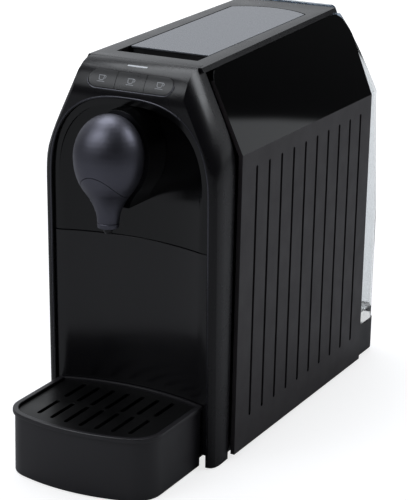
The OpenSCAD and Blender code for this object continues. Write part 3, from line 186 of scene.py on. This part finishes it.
FINISHES = {m.name: m for m in (
    plastic("frame_black", (0.006, 0.0057, 0.0068), 0.2, grain=1800, bump=0.03),
    plastic("frame_skin", (0.007, 0.0066, 0.0078), 0.26, grain=1800, bump=0.03, spec=0.34),
    plastic("panel_grey", (0.0248, 0.0205, 0.0225), 0.42, grain=1800, bump=PANEL_BUMP),
    plastic("recess_black", (0.002, 0.002, 0.0022), 0.14, bump=0.02, spec=0.42),
    plastic("spout_grey", (0.115, 0.115, 0.14), 0.43, grain=1500, bump=0.04, metallic=0.95),
    metal("lid_metal", (0.2, 0.208, 0.23), 0.26, (7, 0.3, 7), bump=0.0, metallic=0.5),
    # painted highlight: paler and half metallic so that the thin lips show as the bright line their rounded
    # edges catch
    plastic("lip_painted_highlight", (0.075, 0.075, 0.088), 0.26, bump=0.02, metallic=0.7),
    plastic("tray_satin", (0.016, 0.0149, 0.0175), 0.36, grain=1800, bump=0.06),
    plastic("grid_black", (0.0022, 0.0022, 0.0024), 0.36, bump=0.05, spec=0.3),
    plastic("key_black", (0.008, 0.008, 0.009), 0.3, bump=0.05),
    plastic("sign_grey", (0.35, 0.36, 0.38), 0.5),
    plastic("light_white", (0.5, 0.52, 0.55), 0.3, bump=0.02),
    plastic("inner_plastic", (0.012, 0.012, 0.013), 0.45, bump=0.15),
    plastic("natural_plastic", (0.6, 0.55, 0.44), 0.4, vary=0.06),
    plastic("rubber_black", (0.012, 0.012, 0.012), 0.75, grain=700, bump=0.25),
    plastic("seal_red", (0.3, 0.05, 0.03), 0.55),
    plastic("hose_clear", (0.6, 0.6, 0.57), 0.25, vary=0.05, clear=0.35),
    metal("steel", (0.6, 0.6, 0.61), 0.26, (1, 12, 12)),
    metal("aluminium", (0.55, 0.55, 0.57), 0.45, bump=0.3),
    plastic("board_green", (0.02, 0.09, 0.045), 0.4, grain=300),
    plastic("switch_red", (0.25, 0.02, 0.015), 0.3),
    clear_plastic("clear_tank", (0.72, 0.74, 0.75), (0.77, 0.785, 0.795), 0.05, 0.12, 1.0),
    clear_plastic("smoke_plastic", (0.35, 0.42, 0.5), (0.42, 0.48, 0.56), 0.08, 0.16, 0.8),
)}
FINISHES["clear_tank"].give("IOR", 1.3)


def gloss_above(m, low, high, color, rough, bump):
    """Turn a finish to deep gloss where the surface leans upwards, as on the slanted flanks."""
    upward = m.axes(m.add("ShaderNodeNewGeometry").outputs["True Normal"])["Z"]
    lean = m.spread(upward, 0.0, 1.0, low, high)
    for socket, kind, value in (("Base Color", "RGBA", (*color, 1)), ("Roughness", "FLOAT", rough)):
        plain = m.bsdf.inputs[socket].links[0].from_socket
        m.give(socket, m.mix(kind, lean, plain, value))
    fill(m.tree, m.grain.inputs["Strength"], m.calc("MULTIPLY_ADD", lean, -bump, bump))


gloss_above(FINISHES["panel_grey"], 0.15, 0.35, (0.0012, 0.0012, 0.0014), 0.03, PANEL_BUMP)

# the front frame's own sizes, as in the CAD source
FRAME_LEAN = math.radians(2)
FRAME_FACE = -0.101705  # y of the frame's leaning face at the table
BROW_R, BROW_Z = 0.024, 0.246  # radius of the brow's rounding and height of its axis, before the lean
BROW_MATCH = 0.9, 0.94  # how closely the surface has to face the round's way, from none to all of it
BROW_SIDE = 0.1, 0.4  # how far the surface may face sideways, from all of the round to none


def leaned(x, y, z):
    """A point of the frame, from its upright place to its lean."""
    c, s = math.cos(FRAME_LEAN), math.sin(FRAME_LEAN)
    return Vector((x, FRAME_FACE + y * c - z * s, y * s + z * c))


def round_brow(m):
    """Even out the frame's shading: flat on the face and the deck, round on the brow between them."""
    geometry = m.add("ShaderNodeNewGeometry").outputs
    place = m.axes(m.coord)
    own_x = m.axes(geometry["Normal"])["X"]
    c, s = math.cos(FRAME_LEAN), math.sin(FRAME_LEAN)
    _, axis_y, axis_z = leaned(0, BROW_R, BROW_Z)
    dy = m.calc("SUBTRACT", place["Y"], axis_y)
    dz = m.calc("SUBTRACT", place["Z"], axis_z)

    # the way out from the brow's axis, held to the quarter between the face and the deck
    forward = m.calc("MINIMUM", m.weigh(dy, c, dz, s), 0.0)
    upward = m.calc("MAXIMUM", m.weigh(dz, c, dy, -s), 0.0)
    parts = {"Y": m.weigh(forward, c, upward, -s), "Z": m.weigh(forward, s, upward, c)}
    out = m.vector("NORMALIZE", {0: m.add("ShaderNodeCombineXYZ", parts).outputs[0]})

    # turned sideways as far as the surface's own normal is
    left_over = m.calc("MAXIMUM", m.calc("SUBTRACT", 1.0, m.calc("MULTIPLY", own_x, own_x)), 0.0)
    across = m.vector("SCALE", {0: out, "Scale": m.calc("SQRT", left_over)})
    sideways = m.add("ShaderNodeCombineXYZ", {"X": own_x}).outputs[0]
    ideal = m.vector("ADD", {0: across, 1: sideways})

    # used only where the surface faces nearly that way, and not on its sides
    match = m.vector("DOT_PRODUCT", {0: geometry["True Normal"], 1: ideal}, "Value")
    frontal = m.spread(m.calc("ABSOLUTE", own_x), 1.0, 0.0, *BROW_SIDE)
    share = m.calc("MULTIPLY", m.spread(match, 0.0, 1.0, *BROW_MATCH), frontal)
    fill(m.tree, m.grain.inputs["Normal"], m.mix("VECTOR", share, geometry["Normal"], ideal))


round_brow(FINISHES["frame_skin"])


def paint(node, finish):
    materials = NODES[node].data.materials
    materials.clear()
    materials.append(FINISHES[finish].mat)


for part in frame["record"]["subparts"]:
    paint(part["node"], part["material_slot"])
# three nodes differ a little from the finish of their slot
for node, finish in (("front_frame", "frame_skin"), ("drip_tray", "tray_satin"), ("cup_grid", "grid_black")):
    paint(node, finish)

# ---- edges: welded, lightly rounded and shaded smooth, as moulded parts are ----
WELD_REACH = 2e-6
FLAT_ANGLE, SMOOTH_ANGLE, BEVEL_ANGLE = (math.radians(a) for a in (0.4, 20, 22))
BEVEL_SEGMENTS = 2
EDGES = {
    "front_frame": 0.0005, "side_panel_left": 0.0005, "side_panel_right": 0.0005,
    "lever_plate": 0.0003, "recess_panel": 0.0003, "drawer_front": 0.0005,
    "drip_tray": 0.0006, "cup_grid": 0.0004, "base_pan": 0.0005, "rear_cover": 0.0004,
    "spout_collar": 0.0004, "spout_cover": 0.0003, "spout_funnel": 0.0003,
    "button_small": 0.0002, "button_medium": 0.0002, "button_large": 0.0002,
    "water_tank": 0.0004, "tank_lid": 0.0005,
}


def smooth_group(angle):
    """Geometry nodes that shade a mesh smooth, except across edges sharper than the angle."""
    group = bpy.data.node_groups.new("smooth_by_angle", "GeometryNodeTree")
    for side in ("INPUT", "OUTPUT"):
        group.interface.new_socket("Geometry", in_out=side, socket_type="NodeSocketGeometry")
    mesh = add(group, "NodeGroupInput").outputs[0]
    bend = add(group, "GeometryNodeInputMeshEdgeAngle").outputs["Unsigned Angle"]
    sharp = add(group, "FunctionNodeCompare", {"A": bend, "B": angle},
                data_type="FLOAT", operation="GREATER_THAN").outputs["Result"]
    shading = {"Mesh": mesh, "Remove Custom": True, "Edge Sharpness": sharp, "Face Sharpness": False}
    shaded = add(group, "GeometryNodeSetMeshNormal", shading, mode="SHARPNESS").outputs["Mesh"]
    add(group, "NodeGroupOutput", {0: shaded})
    return group


SMOOTH = smooth_group(SMOOTH_ANGLE)


def soften(node, width):
    """Round the edges of a CAD node by the width, then shade it smooth."""
    modifiers = NODES[node].modifiers
    weld = modifiers.new("weld", "WELD")
    weld.merge_threshold = WELD_REACH
    flat = modifiers.new("flat", "DECIMATE")
    flat.decimate_type, flat.angle_limit = "DISSOLVE", FLAT_ANGLE
    bevel = modifiers.new("bevel", "BEVEL")
    bevel.limit_method, bevel.angle_limit = "ANGLE", BEVEL_ANGLE
    bevel.width, bevel.segments = width, BEVEL_SEGMENTS
    bevel.use_clamp_overlap = True
    modifiers.new("shade", "NODES").node_group = SMOOTH
    if node != "front_frame":  # round_brow shades that one evenly
        modifiers.new("even", "WEIGHTED_NORMAL").keep_sharp = True


for node, width in EDGES.items():
    soften(node, width)

# ---- beads: the raised lips round the arch and under the keys; the lips are real, but their paler, half-metallic colour paints the thin bright highlight their edges catch ----
BEAD_SIDES = 10
BEAD_END = 0.45  # the radius at its two ends, as a share of the rest


def bead(name, points, radius):
    """A round bead along a line of points on the housing, as one closed mesh, in the paler finish that
    paints a thin highlight line along it.
    """
    bm = bmesh.new()
    rings = []
    last = len(points) - 1
    for i, point in enumerate(points):
        run = (points[min(i + 1, last)] - points[max(i - 1, 0)]).normalized()
        u = run.orthogonal() if i == 0 else u - run * u.dot(run)
        u.normalize()
        v = run.cross(u)
        size = radius * (BEAD_END if i in (0, last) else 1.0)
        rings.append([bm.verts.new(point + size * (math.cos(a) * u + math.sin(a) * v))
                      for a in (2 * math.pi * k / BEAD_SIDES for k in range(BEAD_SIDES))])
    for one, two in zip(rings, rings[1:]):
        for k in range(BEAD_SIDES):
            after = (k + 1) % BEAD_SIDES
            bm.faces.new((one[k], one[after], two[after], two[k]))
    bm.faces.new(rings[0][::-1])
    bm.faces.new(rings[-1])
    bmesh.ops.recalc_face_normals(bm, faces=bm.faces)
    mesh = bpy.data.meshes.new(name)
    bm.to_mesh(mesh)
    bm.free()
    mesh.polygons.foreach_set("use_smooth", [True] * len(mesh.polygons))
    mesh.materials.append(FINISHES["lip_painted_highlight"].mat)
    obj = bpy.data.objects.new(name, mesh)
    bpy.context.scene.collection.objects.link(obj)
    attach(obj, "housing")


# the arch's opening: half its width, the height where it starts to curve, its top, the curve's power
ARCH_HALF_W, ARCH_SPRING, ARCH_TOP, ARCH_POWER = 0.0585, 0.185, 0.249, 2.6
ARCH_STEPS = 56
LIP_R, LIP_OUT, LIP_FOOT = 0.0007, 0.0009, 0.012  # its radius, its way out from the opening, its lower ends
LIP_IN = 0.0002  # how far its middle lies behind the frame's face


def arch_line():
    """The arch's outline in x and z, moved out to the middle of its lip."""
    half_w, rise = ARCH_HALF_W + LIP_OUT, ARCH_TOP - ARCH_SPRING + LIP_OUT
    line = [(half_w, LIP_FOOT)]
    for i in range(ARCH_STEPS + 1):
        a = math.pi * i / ARCH_STEPS
        x = math.copysign(abs(math.cos(a)) ** (2 / ARCH_POWER), math.cos(a))
        line.append((half_w * x, ARCH_SPRING + rise * math.sin(a) ** (2 / ARCH_POWER)))
    return line + [(-half_w, LIP_FOOT)]


bead("arch_lip", [leaned(x, LIP_IN, z) for x, z in arch_line()], LIP_R)

# the key row's slope, half the distance between the centres of its round ends, and the lip's way round them
KEYS_ANGLE, KEYS_HALF, KEYS_R = math.radians(36), 0.0248, 0.0062 + 0.0009
KEY_LIP_R, KEY_LIP_IN = 0.0005, 0.0001
KEY_LIP_ENDS = (-1, 190, 270), (1, 270, 366)  # which end, and its first and last angle in degrees
KEY_LIP_STEP = 8


def key_line(x, z):
    """A point on the brow, from its place in the level of the keys."""
    y = -math.sqrt((BROW_R - KEY_LIP_IN) ** 2 - z * z)
    c, s = math.cos(KEYS_ANGLE), math.sin(KEYS_ANGLE)
    return leaned(x, BROW_R + y * c + z * s, BROW_Z - y * s + z * c)


under_keys = [(side * KEYS_HALF, math.radians(a)) for side, first, last in KEY_LIP_ENDS
              for a in range(first, last + 1, KEY_LIP_STEP)]
bead("key_lip", [key_line(x + KEYS_R * math.cos(a), KEYS_R * math.sin(a)) for x, a in under_keys], KEY_LIP_R)


# ---- stage: floor, world and soft lamps ----
def mix_shader(tree, share, low, high):
    return add(tree, "ShaderNodeMixShader", {0: share, 1: low, 2: high}).outputs[0]


def seen_straight(tree):
    """One where the camera looks, also through clear plastic, and zero for every other ray."""
    path = add(tree, "ShaderNodeLightPath").outputs
    rays = {0: path["Is Camera Ray"], 1: path["Is Transmission Ray"]}
    return add(tree, "ShaderNodeMath", rays, operation="MAXIMUM").outputs[0]


FLOOR_HALF = 4
FLOOR_GREY = (0.42, 0.42, 0.43)
GLOW = 0.75, 1.0  # the floor's glow at the machine and far from it, where it is full white
GLOW_REACH = 0.35, 1.3  # the distances between which it rises, so that no horizon shows

floor_mesh = bpy.data.meshes.new("floor")
corners = [(FLOOR_HALF * x, FLOOR_HALF * y, 0) for x, y in ((-1, -1), (1, -1), (1, 1), (-1, 1))]
floor_mesh.from_pydata(corners, [], [(0, 1, 2, 3)])
floor = bpy.data.objects.new("floor", floor_mesh)
bpy.context.scene.collection.objects.link(floor)

ground = Finish("floor")
paper = ground.add("ShaderNodeBsdfDiffuse", {"Color": (*FLOOR_GREY, 1)}).outputs[0]
distance = ground.vector("LENGTH", {0: ground.coord}, "Value")
strength = ground.spread(distance, *GLOW, *GLOW_REACH)
glow = ground.add("ShaderNodeEmission", {"Strength": strength}).outputs[0]
lit_paper = ground.add("ShaderNodeAddShader", {0: paper, 1: glow}).outputs[0]
surface = mix_shader(ground.tree, seen_straight(ground.tree), paper, lit_paper)
fill(ground.tree, ground.tree.nodes["Material Output"].inputs["Surface"], surface)
floor_mesh.materials.append(ground.mat)

world = bpy.data.worlds.new("world")
bpy.context.scene.world = world
world.use_nodes = True
air = world.node_tree
air.nodes.clear()
sky = add(air, "ShaderNodeTexCoord").outputs["Generated"]


def background(strength, color=(1, 1, 1)):
    return add(air, "ShaderNodeBackground", {"Color": (*color, 1), "Strength": strength}).outputs[0]


def toward(direction, low_in, high_in, low, high):
    """A soft step of brightness that rises towards a direction."""
    turned = add(air, "ShaderNodeVectorMath", {0: sky, 1: direction}, operation="DOT_PRODUCT")
    inputs = {"Value": turned.outputs["Value"], "From Min": low_in, "From Max": high_in,
              "To Min": low, "To Max": high}
    return add(air, "ShaderNodeMapRange", inputs, interpolation_type="SMOOTHSTEP").outputs["Result"]


# a pale wall behind the machine's right, whose top edge shows level in the slanted flank
FLANK = Vector((0.902, 0, 0.432))  # the way out from the flank
WALL_EDGE_PIXEL = 125  # the row of the photograph in which the edge shows
FOCAL_PIXELS = LENS_MM / SENSOR_MM * PHOTO_HEIGHT
edge = up + (PHOTO_HEIGHT / 2 - WALL_EDGE_PIXEL) / FOCAL_PIXELS * back
wall_top = edge - 2 * edge.dot(FLANK) * FLANK
wall = toward(tuple(-wall_top), 0.0, 0.004, 0.0, 0.6)
wall_part = toward((0.5, 0.85, 0.12), 0.9, 0.97, 0.0, 1.0)
# two pale parts of the sky: wide on the left, and smaller beyond, where the machine's level top mirrors it
left_sky = toward((-0.6, 0.6, 0.5), 0.3, 0.98, 0.015, 0.38)
beyond = toward((-0.46, 0.86, 0.2), 0.8, 0.97, 0.0, 0.35)
skies = add(air, "ShaderNodeMath", {0: left_sky, 1: beyond}, operation="ADD").outputs[0]
light = add(air, "ShaderNodeMath", {0: wall, 1: wall_part, 2: skies}, operation="MULTIPLY_ADD").outputs[0]
choice = mix_shader(air, seen_straight(air), background(light, STUDIO_WHITE), background(1.0))
add(air, "ShaderNodeOutputWorld", {0: choice})


def lamp(name, place, aim, size, power):
    data = bpy.data.lights.new(name, "AREA")
    data.shape, data.size, data.energy = "SQUARE", size, power
    data.color = STUDIO_WHITE
    obj = bpy.data.objects.new(name, data)
    obj.location = place
    obj.rotation_mode = "QUATERNION"
    obj.rotation_quaternion = (Vector(aim) - Vector(place)).to_track_quat("-Z", "Y")
    bpy.context.scene.collection.objects.link(obj)


lamp("overhead", (-0.45, 0.35, 1.9), (0, -0.05, 0.2), 1.3, 18)
lamp("front", (-0.35, -1.3, 1.7), (0, 0, 0.12), 1.2, 11)
lamp("front_left", (-1.2, -1.4, 1.5), (0, 0, 0.12), 1.4, 9)
lamp("side", (1.5, 1.25, 1.5), (0, 0.05, 0.12), 0.9, 17)
bpy.context.scene.view_settings.view_transform = "Standard"
